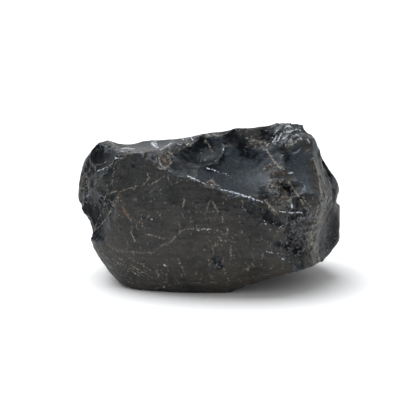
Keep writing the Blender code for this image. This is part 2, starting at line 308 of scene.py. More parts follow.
# crumbled places: deep is how far pieces are missing, size is that of the broken cells, both in mm
crumbs = namedRows(("middle", "radius", "deep", "size", "paint"), {
    "peak": ((44, -10, 85), 13, 1.6, (4.5, 4.5, 3), 0.8),
    "peakLeft": ((27, -16, 80), 6, 0.8, (3, 3, 2), 0.9),
    "pocket": ((36, -39, 57.5), 12, 1.5, (4, 4, 3), 1),
    "pocketTop": ((35, -27, 67), 7, 0.8, (3, 3, 2.4), 0.8),
    "darkRough": ((46, -38, 34), 17, 1.7, (5, 5, 3.4), 0.35),
    "leftStrip": ((-70, -15, 57), 9, 1.1, (3.4, 3.4, 3), 0.6),
    "leftSlot": ((-55, -34, 49), 6, 1.6, (2.6, 2.6, 6), 0.35),
    "knob": ((-23.7, -34.3, 74.7), 5, 0.9, (2.2, 2.2, 1.8), 1),
    "rimChip": ((0.8, -43.5, 61.5), 4, 0.8, (2.4, 2.4, 1.8), 1),
    "crestLeft": ((-14, -13, 81), 7, 0.9, (3, 3, 2), 0.6),
    "pit": ((3.7, -49.8, 20.3), 4, 1.5, (3, 3, 3), 0.2),
    "foot": ((-26, -41, 9), 5, 0.4, (2, 2, 2), 0.4),
    "backPocket": ((-24, 50, 60), 12, 1.4, (4.5, 4.5, 3.5), 0.7),
    "backCorner": ((62, 32, 50), 11, 1.4, (4, 4, 3.4), 0.7),
    "backFoot": ((-40, 46, 20), 13, 1.2, (5, 5, 4), 0.4),
})
# flakes struck off the sharp edges: how many, within which ball (None is everywhere), bend in mm, depth as a part of
# bend, and how close together they may be (1 is side by side)
chipParts = ("count", "middle", "radius", "bend", "deep", "apart")
largeChips = namedRows(chipParts, {
    "behind": (110, (0, 55, 40), 70, (10, 40), (0.01, 0.03), 0.9),
    "around": (60, None, 0, (8, 20), (0.008, 0.02), 1),
    "pocket": (22, (37, -40, 57), 12, (6, 20), (0.03, 0.07), 0.4),
    "peak": (18, (44, -12, 83), 12, (6, 18), (0.012, 0.03), 0.5),
    "leftEdge": (18, (-68, -16, 58), 16, (6, 20), (0.02, 0.06), 0.5),
    "lowerRight": (30, (52, -38, 33), 18, (8, 26), (0.02, 0.06), 0.4),
    "right": (24, (64, -16, 52), 26, (8, 30), (0.012, 0.04), 0.6),
})
smallChips = namedRows(chipParts, {
    "everywhere": (260, None, 0, (3, 12), (0.012, 0.035), 0.9),
    "frontRim": (60, (8, -44, 60), 26, (2.5, 10), (0.02, 0.05), 0.7),
    "pocket": (50, (37, -40, 57), 13, (2.5, 8), (0.02, 0.06), 0.5),
    "peak": (50, (44, -10, 85), 14, (2.5, 8), (0.02, 0.06), 0.5),
    "leftEdge": (40, (-66, -18, 56), 18, (2.5, 8), (0.02, 0.05), 0.6),
    "ledge": (40, (-38, -28, 78), 22, (2.5, 9), (0.015, 0.045), 0.7),
    "lowerRight": (50, (54, -36, 32), 22, (2.5, 9), (0.02, 0.06), 0.6),
    "right": (40, (64, -16, 52), 26, (3, 10), (0.015, 0.045), 0.7),
})

sharpEdge = 0.14  # mm that a point stands proud of its neighbours
crumbLook = {"wander": 6, "ragged": 0.35, "fine": 0.45, "coarseLoss": 0.62, "fineLoss": 0.28, "crackLoss": 0.16}
chipLook = {"edgePasses": 6, "facingPasses": 10, "tilt": 0.3, "spread": 2.2}
bruiseAndHighlight = (0.04, 0.22)  # mm proud: where an edge starts to lighten from bruising and painted highlight, and where it is lightest


def crumble(places):
    lift = np.zeros(len(places))
    paint = np.zeros(len(places))
    for number, spot in enumerate(crumbs.values()):
        away = np.linalg.norm(places - np.array(spot["middle"], float), axis=1)
        here = away < spot["radius"] * 1.3
        wander = noiseAt(places[here], crumbLook["wander"], number + 3, 2)
        part = 1 - ramp(away[here] / spot["radius"] + crumbLook["ragged"] * wander, 0.55, 1.0)
        crack, chance = cellsAt(places[here] + 1.2 * wander[:, None], spot["size"], number)
        luck = cellsAt(places[here], np.array(spot["size"]) * crumbLook["fine"], number + 50)[1]
        missing = crumbLook["coarseLoss"] * chance + crumbLook["fineLoss"] * luck
        missing += crumbLook["crackLoss"] * (1 - ramp(crack, 0.0, 0.25))
        lift[here] -= part * spot["deep"] * missing
        paint[here] = np.maximum(paint[here], part * spot["paint"])
    return lift, paint


def convexity(places, facing, links, passes):
    return ((places - softened(places, *links, passes)) * facing).sum(1)


def chipEdges(places, mesh, links, batches, seed):
    # takes shallow bowls out of the sharp edges; each point in a bowl goes to its wall
    chance = random.Random(seed)
    facing = facingOf(mesh)
    sharp = convexity(places, facing, links, chipLook["edgePasses"])
    broad = unit(softened(facing, *links, chipLook["facingPasses"]))
    chipped = np.zeros(len(places))
    for batch in batches.values():
        likely = sharp > sharpEdge
        if batch["middle"] is not None:
            likely &= np.linalg.norm(places - np.array(batch["middle"], float), axis=1) < batch["radius"]
        choice = np.flatnonzero(likely)
        struck = []
        for _ in range(batch["count"] if len(choice) else 0):
            spot = choice[chance.randrange(len(choice))]
            low, high = batch["bend"]
            bend = low * (high / low) ** chance.random()
            low, high = batch["deep"]
            deep = bend * (low + (high - low) * chance.random() ** 2)
            half = math.sqrt(2 * bend * deep)
            tilt = np.array([chance.gauss(0, chipLook["tilt"]) for _ in range(3)])
            place = places[spot].copy()
            if any(np.linalg.norm(place - other) < batch["apart"] * (half + width) for other, width in struck):
                continue
            struck.append((place, half))
            toward = unit((broad[spot] + tilt)[None])[0]
            centre = place + toward * (bend - deep)
            away = places - centre
            reach = np.linalg.norm(away, axis=1)
            inside = (reach < bend) & (np.linalg.norm(places - place, axis=1) < chipLook["spread"] * half)
            places[inside] = centre + away[inside] / reach[inside, None] * bend
            chipped[inside] = 1
    return chipped


# long streaks down the right edge
spine = [(57.8, -14.5, 71), (62.5, -18.5, 58), (65.4, -21.9, 45.7), (60.5, -28, 36), (57, -31, 30),
         (58.8, -26.7, 15)]
spineLook = {"width": 7.5, "narrow": 0.28, "widens": (12, 34), "deep": 0.28, "spacing": 1.5, "strand": 26}


def alongLine(places, line):
    # for each point: its distance from the line, the side it is on, and how far along it is
    near = np.full(len(places), 1e9)
    side = np.zeros(len(places))
    along = np.zeros(len(places))
    gone = 0.0
    for start, end in zip(line, line[1:]):
        start = np.array(start, float)
        step = np.array(end, float) - start
        length = np.linalg.norm(step)
        part = np.clip((places - start) @ step / length ** 2, 0, 1)
        away = places - start - part[:, None] * step
        reach = np.linalg.norm(away, axis=1)
        closer = reach < near
        near[closer] = reach[closer]
        side[closer] = np.sign(away[closer] @ np.cross(step / length, (0.6, -0.8, 0)))
        along[closer] = gone + part[closer] * length
        gone += length
    return near, side, along


def spineRelief(places):
    near, side, along = alongLine(places, spine)
    narrow = spineLook["narrow"]
    width = spineLook["width"] * (narrow + (1 - narrow) * ramp(along, *spineLook["widens"]))
    part = 1 - ramp(near / width, 0.45, 1.0)
    part[near > width] = 0
    here = part > 0
    strand = np.stack((side * near, along / spineLook["strand"], np.zeros(len(places))), 1)[here] / spineLook["spacing"]
    value = noiseAt(strand, 1, 5, 3, 0.4)
    lift = np.zeros(len(places))
    streak = np.zeros(len(places))
    lift[here] = part[here] * spineLook["deep"] * np.clip(value, -1, 0.6)
    streak[here] = part[here] * ramp(value, 0.05, 0.45)
    return lift, streak


# single flakes struck off one by one: the middle of the ball that leaves the bowl and its size, all in mm
handStruck = {
    "step": [((60.6, y, 90.5 - 0.2 * max(y, 0)), 7.8) for y in range(-12, 27, 4)]
            + [((57.9, y, 87.6 - 0.2 * max(y, 0)), 5.2) for y in range(-12, 27, 4)],
    "notch": [((75.2, y, 45.8), 4.5) for y in (-17, -12, -7, -2, 3, 8)],
    "leftNotch": [((-73.5, -18, 31.5), 9.0)],
    "ledgeDip": [((-47, 2, 92.5), 16.5), ((-44, 14, 92.5), 17.4)],
    "dip": [((-22, -4, 93.5), 13.0)],
    "facet": [((31, -31, 97.5), 24.4)],
    "topScar": [((13.5, -31.5, 91.5), 16.4)],
}


def strikeByHand(places):
    for balls in handStruck.values():
        for centre, bend in balls:
            away = places - np.array(centre, float)
            reach = np.linalg.norm(away, axis=1)
            inside = reach < bend
            places[inside] = np.array(centre, float) + away[inside] / reach[inside, None] * bend


# Marks on the front (scratches, stains, painted highlights and painted shade), drawn on a sheet that leans back like
# the view.
# The lines of a row share a half width in mm and a strength; each runs through points, across and up from the middle of
# the sheet in tenths of a mm.
scratches = {
    (0.28, 0.9): [(-509, 91, -457, 109, -406, 129), (-337, 126, -291, 154, -251, 183),
        (-174, -286, -149, -337, -131, -386), (107, -103, 113, -160)],
    (0.25, 0.8): [(-383, -34, -377, -91, -369, -141), (143, -154, 227, -154)],
    (0.35, 0.9): [(-360, -149, -303, -160, -246, -177), (-214, 274, -229, 300, -257, 306),
        (-229, 323, -211, 311, -194, 289)],
    (0.32, 1): [(-449, -120, -434, -154, -417, -189), (-135, 51, -145, -11)],
    (0.21, 0.7): [(-171, -34, -160, -114), (-329, -34, -354, -63), (57, -200, 69, -274)],
    (0.18, 0.6): [(-189, -40, -171, -103), (-103, 23, -100, -46, -91, -120), (-51, 29, -49, -34),
        (0, 23, 6, -51, 3, -103), (40, 17, 46, -63), (80, 6, 86, -74), (200, -171, 309, -174)],
    # painted highlight: the long line along the fold's rim
    (0.67, 0.56): [(-571, -211, -549, -229, -514, -246, -474, -254, -429, -251, -377, -257, -320, -257, -291, -234,
         -257, -211, -217, -200, -183, -160, -160, -137, -126, -120, -80, -117, -29, -123, 23, -123, 63, -131, 103,
         -160)],
    (0.25, 0.6): [(-526, -154, -523, -189)],
    (0.32, 0.6): [(-206, -434, -46, -427, 114, -423, 223, -400, 360, -377, 434, -343)],
    (0.43, 0.8): [(74, -171, 81, -200), (674, 171, 691, 103, 697, 34), (-674, 223, -708, 171, -731, 114)],
    (0.32, 0.8): [(91, -343, 103, -383, 120, -414), (394, -120, 403, -160), (-594, 0, -623, -57, -640, -103)],
    (0.39, 0.8): [(3, -291, 11, -337), (349, 154, 389, 166, 429, 160), (354, 137, 400, 120, 440, 131),
        (446, 411, 486, 397, 526, 400)],
    (0.71, 0.7): [(200, -343, 229, -351)],
    (0.92, 0.85): [(326, 46, 354, 11, 389, -29)],
    (0.39, 0.9): [(537, 69, 560, 34, 589, 6)],
    (0.43, 1): [(463, 149, 503, 86, 546, 23)],
    (0.46, 1): [(331, 337, 354, 303, 382, 263, 403, 234, 434, 223),
        (-280, 291, -277, 263, -269, 243, -249, 231, -223, 240, -209, 263)],
    (0.35, 0.8): [(354, 103, 377, 69, 423, 63), (-686, 183, -697, 126, -708, 80), (-726, 91, -697, 103, -668, 91),
        (-357, 149, -371, 134), (406, 309, 417, 291, 431, 306)],
    (0.35, 0.7): [(434, 103, 417, 57, 389, 29), (-400, 126, -423, 109), (246, 411, 280, 417)],
    (0.57, 1): [(603, 286, 617, 246, 631, 194, 646, 86, 651, 14)],
    (0.46, 0.9): [(611, 274, 631, 217, 646, 131, 660, 46), (-520, 57, -549, 0, -577, -51, -611, -97, -651, -131),
        (-297, 237, -274, 226, -246, 223)],
    (0.53, 0.9): [(660, 229, 686, 177, 703, 114, 708, 46)],
    (0.54, 0.82): [(646, 69, 628, 0, 611, -57, 591, -143, 603, -206, 628, -286, 646, -306)],
    (0.42, 0.74): [(657, 63, 640, 0, 623, -63, 603, -143, 614, -217, 637, -291)],
    (0.42, 0.66): [(668, 51, 651, -6, 634, -69, 611, -149, 620, -211)],
    (0.39, 0.66): [(680, 57, 660, -11, 643, -74, 623, -143)],
    (0.36, 0.66): [(691, 51, 668, -11, 651, -63, 631, -126, 626, -183)],
    (0.36, 0.57): [(634, 69, 611, 0, 591, -63, 580, -126)],
    (0.3, 0.57): [(617, -29, 597, -91, 589, -171, 594, -240)],
    (0.45, 0.66): [(703, 69, 674, 0, 640, -109, 631, -200, 637, -274)],
    (0.24, 0.57): [(674, 69, 646, -23, 614, -114)],
    (0.27, 0.57): [(628, 46, 597, -34, 577, -114, 583, -183)],
    (0.28, 0.7): [(-737, 46, -697, 34, -646, 17, -611, 0), (-600, 6, -628, 29, -674, 40),
        (-646, 17, -657, -29, -646, -46)],
    (0.32, 0.9): [(-600, 17, -594, 51, -583, 74, -549, 86, -526, 97)],
    (0.25, 0.7): [(-189, 137, -126, 177)],
    (0.43, 0.75): [(-640, 246, -606, 251, -571, 269)],
    # painted highlight: the light band along the glossy scar's rim
    (0.57, 0.75): [(-577, 234, -520, 269, -474, 294)],
    (0.92, 0.8): [(-577, 383, -549, 371, -520, 349)],
    # painted highlights: the light lines along the ledge's edges
    (0.28, 0.8): [(-594, 383, -560, 360, -526, 337, -486, 326, -446, 317)],
    (0.32, 0.75): [(-449, 317, -400, 320, -337, 324, -280, 331)],
    (0.43, 0.9): [(-346, 197, -337, 171, -349, 154)],
    (0.35, 0.85): [(-109, 354, -86, 374, -57, 394)],
    (0.57, 0.8): [(-17, 383, 6, 360, 23, 326)],
    (0.99, 0.85): [(-6, 417, 29, 420, 57, 409)],
    (0.57, 0.85): [(-6, 149, 17, 160, 46, 134, 69, 120)],
    (0.39, 0.85): [(234, 383, 274, 389, 309, 371, 343, 371)],
    (0.21, 0.85): [(-617, -246, -566, -297, -514, -343), (-583, -269, -520, -314, -451, -366),
        (-549, -286, -469, -337, -383, -394), (-497, -309, -417, -354, -331, -417)],
    (0.18, 0.85): [(-594, -309, -537, -354, -480, -400), (-457, -286, -354, -331)],
    (0.21, 0.5): [(-69, 51, -17, 57, 29, 46), (160, 11, 171, -34), (120, -23, 126, -80)],
    (0.18, 0.8): [(-600, -223, -526, -280, -440, -326, -377, -371), (-560, -251, -480, -303, -389, -354, -314, -400)],
    (0.18, 0.7): [(-628, -263, -571, -320, -497, -371, -429, -411), (-514, -286, -423, -331, -331, -371),
        (-417, -309, -331, -354, -257, -394)],
    (0.21, 0.8): [(-543, -383, -474, -411, -389, -451)],
    (0.18, 0.5): [(-126, -23, -11, -20, 114, -29), (-103, -60, 23, -57, 160, -66), (-206, 0, -200, -80, -183, -160),
        (-240, 23, -234, -80), (-46, -183, 91, -189), (-286, -309, -283, -400), (-91, -309, -86, -406),
        (183, -217, 189, -309), (251, -183, 257, -274)],
    (0.53, 0.5): [(343, -217, 360, -240), (503, -200, 526, -177), (303, -160, 320, -189)],
    (0.5, 0.5): [(394, -171, 417, -189), (543, -251, 566, -280), (360, -286, 389, -303), (514, -297, 543, -314)],
    (0.57, 0.5): [(423, -240, 446, -274), (309, -343, 366, -354, 434, -331)],
    (0.46, 0.5): [(474, -120, 497, -103), (457, -189, 469, -160)],
    (0.43, 0.5): [(349, -120, 366, -137)],
    (0.57, 0.6): [(446, 423, 480, 411), (463, 383, 503, 377)],
    (0.53, 0.6): [(497, 463, 526, 440)],
    (0.5, 0.6): [(394, 451, 423, 463)],
    (0.28, 0.6): [(-97, 40, -80, 17)],
    (0.32, 0.7): [(-89, 34, -74, 0)],
    (0.25, 0.5): [(-114, -86, -69, -80, -11, -80), (-217, -189, -143, -191), (-40, -103, 29, -91, 86, -97)],
}
# painted highlights: bright glints along rims, edges and ridges
glints = {
    (0.27, 0.7): [(-63, -122, -29, -123, 6, -121)],
    (0.25, 0.9): [(-254, -327, -240, -328), (-257, -451, -243, -449), (469, -309, 477, -310),
        (-126, 186, -69, 163, -15, 137), (14, 134, 31, 126), (429, 394, 451, 411, 469, 429)],
    (0.19, 0.55): [(-237, -331, -225, -347, -235, -376, -239, -420)],
    (0.19, 0.6): [(-317, -466, -291, -457, -269, -451)],
    (0.19, 0.9): [(-329, 37, -306, 51)],
    (0.25, 0.8): [(-324, -65, -322, -66), (-418, -371, -416, -380), (-340, -410, -337, -413)],
    (0.22, 0.7): [(-210, -231, -206, -234), (371, -91, 400, -77), (429, -97, 406, -114), (429, 446, 451, 423)],
    (0.19, 0.7): [(329, -246, 360, -257, 423, -260), (331, 354, 354, 371)],
    (0.27, 0.9): [(417, -283, 437, -297), (-6, 227, 29, 220, 63, 206), (466, 198, 483, 201), (-146, 400, -140, 391),
        (-97, 406, -89, 389)],
    (0.22, 0.8): [(320, -69, 334, -103), (557, -227, 594, -206), (497, 423, 520, 411, 537, 389)],
    (0.3, 1): [(411, -20, 446, -25, 480, -29, 537, -23), (397, 386, 409, 406, 420, 426)],
    (0.36, 1): [(479, 17, 481, 0)],
    (0.25, 1): [(-440, -66, -443, -74), (-628, 211, -600, 223, -577, 234)],
    (0.3, 0.7): [(74, 206, 109, 191, 131, 174)],
    (0.25, 0.85): [(51, 111, 114, 97, 160, 86, 200, 74)],
    (0.33, 0.95): [(200, 71, 234, 63, 274, 46, 314, 34)],
    (0.27, 1): [(369, 377, 383, 394, 391, 409), (-497, 339, -463, 341, -423, 339)],
    (0.3, 0.9): [(431, 434, 469, 437, 503, 449, 531, 443), (434, 457, 457, 469, 486, 463)],
    (0.33, 0.9): [(566, 397, 580, 371), (-274, 334, -240, 351, -200, 377)],
    (0.47, 1): [(-529, 282, -509, 291)],
    (0.6, 1): [(-320, 371, -303, 354, -286, 346)],
    (0.36, 0.9): [(-303, 380, -294, 360)],
    (0.33, 0.8): [(-571, 394, -551, 374)],
    (0.33, 0.7): [(-617, 340, -594, 331)],
    (0.25, 0.7): [(-177, 371, -154, 360), (-126, 360, -109, 371)],
    (0.27, 0.8): [(80, 343, 91, 331)],
    (0.22, 0.9): [(377, 423, 394, 440, 417, 451)],
    (0.19, 0.8): [(354, 389, 371, 406)],
    (0.16, 0.6): [(217, 400, 251, 394), (-657, 309, -628, 337, -600, 360), (46, 411, 91, 426)],
    (0.16, 0.7): [(-526, 314, -497, 326, -457, 326)],
    (0.14, 0.6): [(-394, 343, -343, 340)],
    (0.14, 0.5): [(-34, -120, -23, -129)],
}
stains = {
    (0.91, 1): [(-486, 0, -469, -29, -447, -60)],
    (0.55, 0.7): [(-500, 69, -486, 23)],
    (0.73, 0.8): [(-534, 100, -514, 91, -509, 63)],
    (0.37, 0.6): [(-514, 263, -520, 206, -526, 114)],
    (1.01, 1): [(-254, 277, -243, 263)],
    (0.91, 0.8): [(0, 137, 29, 129)],
    (1.19, 0.8): [(360, 203, 406, 197, 451, 200)],
    (0.73, 0.7): [(446, 394, 520, 391)],
    (0.82, 0.6): [(-40, 423, -11, 400)],
    (0.46, 0.6): [(-383, -34, -371, -137)],
    (0.55, 0.6): [(-360, -149, -246, -177)],
    (1.1, 0.6): [(331, 23, 377, -34)],
    (0.73, 0.5): [(6, -46, 34, -69)],
    (0.64, 0.5): [(91, 29, 109, 17), (554, -137, 520, -171)],
}
# painted shade: patches where the surface lies in shade or mirrors dark surroundings, given a darker, glassier colour
# and a weaker reflection
paintedShadePatches = {
    (2.86, 0.45): [(217, -11, 274, -46)],
    (1.94, 0.6): [(309, -46, 366, -80, 423, -97)],
    (1.49, 0.6): [(331, -23, 354, -46)],
    (2.29, 0.9): [(480, -46, 543, -34), (-680, 240, -634, 229, -583, 257)],
    (2.29, 1): [(480, -160, 469, -217, 520, -251), (337, 440, 349, 406)],
    (1.71, 0.8): [(389, -206, 440, -217), (720, 103, 720, 46), (720, -34, 731, -114), (708, -103, 726, -137)],
    (1.49, 0.9): [(46, -306, 63, -326), (-720, 40, -674, 11, -623, -11)],
    (2.06, 1): [(-566, 51, -574, 0, -591, -51)],
    (2.29, 0.4): [(-663, 160, -628, 91), (223, 303, 286, 274), (223, 11, 309, 0), (-69, 240, -11, 240)],
    (1.71, 0.28): [(-491, -183, -411, -206, -320, -217)],
    (1.71, 0.25): [(-46, -143, 34, -160)],
    (2.86, 0.8): [(-63, 320, -6, 274, 17, 240), (114, 411, 171, 389, 217, 331), (-674, 274, -651, 229)],
    (2.29, 0.8): [(-126, 274, -171, 320), (-29, 377, 23, 331)],
    (1.71, 0.7): [(429, 331, 446, 286), (651, 286, 680, 217, 703, 149)],
    (1.49, 0.8): [(634, 309, 663, 240, 680, 183)],
    (1.37, 0.7): [(668, 126, 680, 86)],
    (1.71, 0.6): [(526, 57, 503, 11), (-149, 354, -103, 343), (-149, 331, -91, 297, -103, 251), (309, 103, 331, 57),
        (-640, -80, -651, -126), (-594, 366, -543, 337)],
    (2.29, 0.24): [(-549, -171, -446, -217, -331, -229, -274, -183)],
    (2.06, 0.8): [(417, 126, 457, 114, 474, 91)],
    (5.71, 0.75): [(-686, 0, -634, -57, -646, -126)],
    (2.29, 0.6): [(-640, -143, -600, -171), (-708, 137, -674, 114)],
    (5.71, 0.6): [(703, -23, 720, -103, 708, -206)],
    (1.49, 0.5): [(651, -229, 628, -274)],
    (3.43, 0.4): [(-69, 331, -23, 297)],
    (2.86, 0.4): [(-183, 320, -137, 274)],
    (3.43, 0.55): [(-674, 171, -646, 103, -594, 69)],
    (2.86, 0.5): [(-617, 194, -549, 229)],
    (5.14, 0.3): [(-503, 194, -411, 251, -331, 274)],
    (4.57, 0.3): [(-491, -69, -400, -160)],
    (4.57, 0.26): [(-514, -274, -411, -343)],
    (3.43, 0.3): [(-617, 46, -549, 114)],
    (5.71, 0.95): [(-697, 251, -651, 297, -594, 320)],
    (4.57, 0.85): [(-708, 194, -674, 229, -628, 257)],
    (2.86, 0.6): [(-583, 331, -537, 331), (-194, 251, -114, 229), (-708, 131, -697, 69)],
    (2.29, 0.7): [(-617, -23, -640, -80), (-697, 23, -657, -46), (29, 331, 63, 303)],
    (4.0, 0.32): [(-23, 46, 103, 11, 229, -80)],
    (3.43, 0.28): [(-217, 46, -103, -11)],
    (4.0, 0.3): [(240, -137, 354, -171)],
    (3.43, 0.22): [(-331, -80, -240, -103)],
    (4.0, 0.25): [(0, -217, 103, -240)],
    (1.37, 0.6): [(680, -34, 697, -80)],
    (1.37, 0.5): [(651, -160, 640, -217)],
    (1.71, 0.5): [(-640, -160, -600, -183), (668, -240, 697, -206), (543, -251, 594, -274)],
    (2.29, 0.75): [(-46, 274, 11, 257, 63, 286)],
    (3.43, 0.8): [(-663, 320, -628, 286, -571, 297)],
    (2.06, 0.6): [(686, -137, 697, -217)],
    (3.43, 0.75): [(-697, 6, -663, -40, -646, -91)],
    (2.86, 0.75): [(-628, 17, -617, -23)],
}
marks = {"scratch": scratches, "glint": glints, "stain": stains, "paintedShade": paintedShadePatches}
sheet = {
    "lean": 12,                      # degrees
    "middle": (-1.107, -2.32, 40.4),
    "reach": 660.3,                  # mm from which it is seen
    "behind": 26,                    # mm behind the sheet where the marks end
    "fades": (0.02, 0.3),            # how squarely the surface meets it: nothing, then full strength
    "narrowest": 0.45,               # how much of their width lines keep on the turned sides
}
sheetOut = np.array((0, -math.cos(math.radians(sheet["lean"])), math.sin(math.radians(sheet["lean"]))))
sheetUp = np.array((0, math.sin(math.radians(sheet["lean"])), math.cos(math.radians(sheet["lean"]))))


def onSheet(places):
    # where each point shows on the sheet, and how far in front of it the point is
    away = places - np.array(sheet["middle"])
    near = away @ sheetOut
    size = sheet["reach"] / (sheet["reach"] - near)
    return np.stack((away[:, 0] * size, away @ sheetUp * size), 1), near


def markField(spots, square, groups):
    # full strength on a line, nothing at three times its half width; square narrows the lines on the turned sides
    field = np.zeros(len(spots))
    strokes = [(half, strength, line) for (half, strength), lines in groups.items() for line in lines]
    for half, strength, line in strokes:
        points = np.reshape(line, (-1, 2)) / 10
        for start, end in zip(points, points[1:]):
            step = end - start
            here = np.flatnonzero((np.abs(spots - start - step / 2) < np.abs(step) / 2 + 3 * half).all(1))
            part = np.clip((spots[here] - start) @ step / (step @ step), 0, 1)
            reach = np.linalg.norm(spots[here] - start - part[:, None] * step, axis=1) / square[here]
            field[here] = np.maximum(field[here], strength * (1 - reach / (3 * half)))
    return field


def paintMarks(mesh, places, facing):
    spots, near = onSheet(places)
    front = ramp(facing @ sheetOut, *sheet["fades"]) * (near > -sheet["behind"])
    square = np.clip(1.2 - np.abs(facing[:, 0]), sheet["narrowest"], 1)
    for name, groups in marks.items():
        setPaint(mesh, name, markField(spots, square, groups) * front)


# fine scratches over the whole chunk: how many, mm long, half width in mm, the faintest, the share that runs upright
fineScratches = {"count": 2300, "long": (1.5, 12.0), "half": (0.13, 0.34), "faintest": 0.25, "upright": 0.7, "seed": 21,
                 "onGlass": 0.15}


def scatterScratches(places, facing, likely):
    chance = random.Random(fineScratches["seed"])
    field = np.zeros(len(places))
    for _ in range(fineScratches["count"]):
        spot = chance.randrange(len(places))
        while chance.random() > likely[spot]:
            spot = chance.randrange(len(places))
        low, high = fineScratches["long"]
        length = low * (high / low) ** (chance.random() ** 1.6)
        upright = chance.random() < fineScratches["upright"]
        angle = chance.gauss(0, 0.3) if upright else chance.uniform(0, math.pi)
        out = facing[spot]
        across = unit(np.cross((0, 0, 1.0), out)[None])[0] if abs(out[2]) < 0.95 else np.array((1.0, 0, 0))
        step = (np.cross(out, across) * math.cos(angle) + across * math.sin(angle)) * length
        low, high = fineScratches["half"]
        half = chance.uniform(low, high)
        faintest = fineScratches["faintest"]
        strength = faintest + (1 - faintest) * chance.random() ** 2.2
        start = places[spot] - step / 2
        here = np.flatnonzero((np.abs(places - places[spot]) < np.abs(step) / 2 + 4 * half).all(1))
        part = np.clip((places[here] - start) @ step / (step @ step), 0, 1)
        reach = np.linalg.norm(places[here] - start - part[:, None] * step, axis=1)
        worn = strength * (1 - 0.6 * np.abs(2 * part - 1) ** 3)
        field[here] = np.maximum(field[here], worn * (1 - reach / (4 * half)))
    return field


# a low fold that winds across the worn front, across and up the sheet in mm
fold = [(-60, -17), (-57, -21), (-51.4, -24.6), (-43, -25.4), (-32, -25.7), (-29, -23.4), (-22, -20), (-18.3, -16),
        (-12.6, -12), (-3, -12.3), (6.3, -13.1), (14, -17)]
foldLook = {"tall": 0.34, "wide": 4.5, "wander": 0.8, "ends": 8}
rindLook = {"swell": 0.22, "grain": 0.06, "pocks": 0.7}  # mm high, and the last deep


def foldRelief(places, facing):
    # the skin above the fold stands a little proud and falls away sharply at it
    across, up = onSheet(places)[0].T
    x, y = np.array(fold).T
    above = up - np.interp(across, x, y) + foldLook["wander"] * noiseAt(places, 7, 31, 2)
    part = ramp(above, -0.5, 0.5) * (1 - ramp(above, 0.5, foldLook["wide"]))
    ends = ramp(across, x[0], x[0] + foldLook["ends"]) * (1 - ramp(across, x[-1] - foldLook["ends"], x[-1]))
    return foldLook["tall"] * part * ends * (facing[:, 1] < -0.3)


def rindRelief(places):
    # the worn skin: long low swells, pocks and fine grain that runs level
    swell = noiseAt(places, (15, 15, 8), 11, 4)
    grain = noiseAt(places, (5, 5, 1.5), 12, 3)
    pocks = np.clip(noiseAt(places, 2.6, 14, 2) - 0.32, 0, 0.4)
    return rindLook["swell"] * swell + rindLook["grain"] * grain - rindLook["pocks"] * pocks


def scarShare(column, rest, owner, links, passes):
    # one column of the scars on every point, rest where there is no scar
    return softened(np.array([scar[column] for scar in scars.values()] + [rest])[owner], *links, passes)


def strikeLarge(piece):
    evenMesh(piece, chunk["roughGrain"])
    settleFacets(piece, chunk["roughSettle"])
    mesh = piece.data
    places = placesOf(mesh)
    chipEdges(places, mesh, meshLinks(mesh), largeChips, chunk["seed"])
    strikeByHand(places)
    setPlaces(mesh, places)
    evenMesh(piece, chunk["grain"])
    settleFacets(piece, chunk["settle"])
    print("large chips struck")


def carveSkin(piece):
    mesh = piece.data
    links = meshLinks(mesh)
    places = placesOf(mesh)
    facing = facingOf(mesh)
    owner = scarOf(places, facing)
    print("scars found on", round(100 * (owner >= 0).mean()), "% of the chunk")
    paints = {"glass": scarShare("glass", 0.0, owner, links, 2), "gloss": scarShare("gloss", 0.0, owner, links, 4),
              "sheen": scarShare("sheen", 1.0, owner, links, 3)}
    lift = breakRelief(places, owner, links)
    lift += (rindRelief(places) + foldRelief(places, facing)) * (1 - chunk["glassCalm"] * paints["glass"])
    crumbLift, paints["crumb"] = crumble(places)
    spineLift, paints["streak"] = spineRelief(places)
    calm = ramp(places[:, 2], 0.0, chunk["calmFoot"])
    places += facing * ((lift + crumbLift + spineLift) * calm)[:, None]
    setPlaces(mesh, places)
    print("scars rippled, edges crumbled")
    paints["chip"] = chipEdges(places, mesh, links, smallChips, chunk["seed"] + 1)
    places[:, 2] = np.maximum(places[:, 2], 0)
    setPlaces(mesh, places)
    for name, values in paints.items():
        setPaint(mesh, name, values)
    print("small chips struck")


def wearSkin(piece):
    fewerFaces(piece)
    mesh = piece.data
    low, high = (np.array(corner) / mm for corner in cadBox)
    places = np.clip(placesOf(mesh), low + chunk["inset"], high - chunk["inset"])
    setPlaces(mesh, places)
    facing = facingOf(mesh)
    paintMarks(mesh, places, facing)
    rind = 1 - read(mesh.attributes["glass"].data, "value")
    likely = fineScratches["onGlass"] + (1 - fineScratches["onGlass"]) * rind
    setPaint(mesh, "fine", scatterScratches(places, facing, likely))
    # edge: bruised edges that also carry a painted highlight
    setPaint(mesh, "edge", ramp(convexity(places, facing, meshLinks(mesh), 3), *bruiseAndHighlight))
    print("piece shaped:", len(mesh.polygons), "faces")


piece = copiedSolid(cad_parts["obsidian_chunk"], "obsidianChunk")
strikeLarge(piece)
carveSkin(piece)
wearSkin(piece)


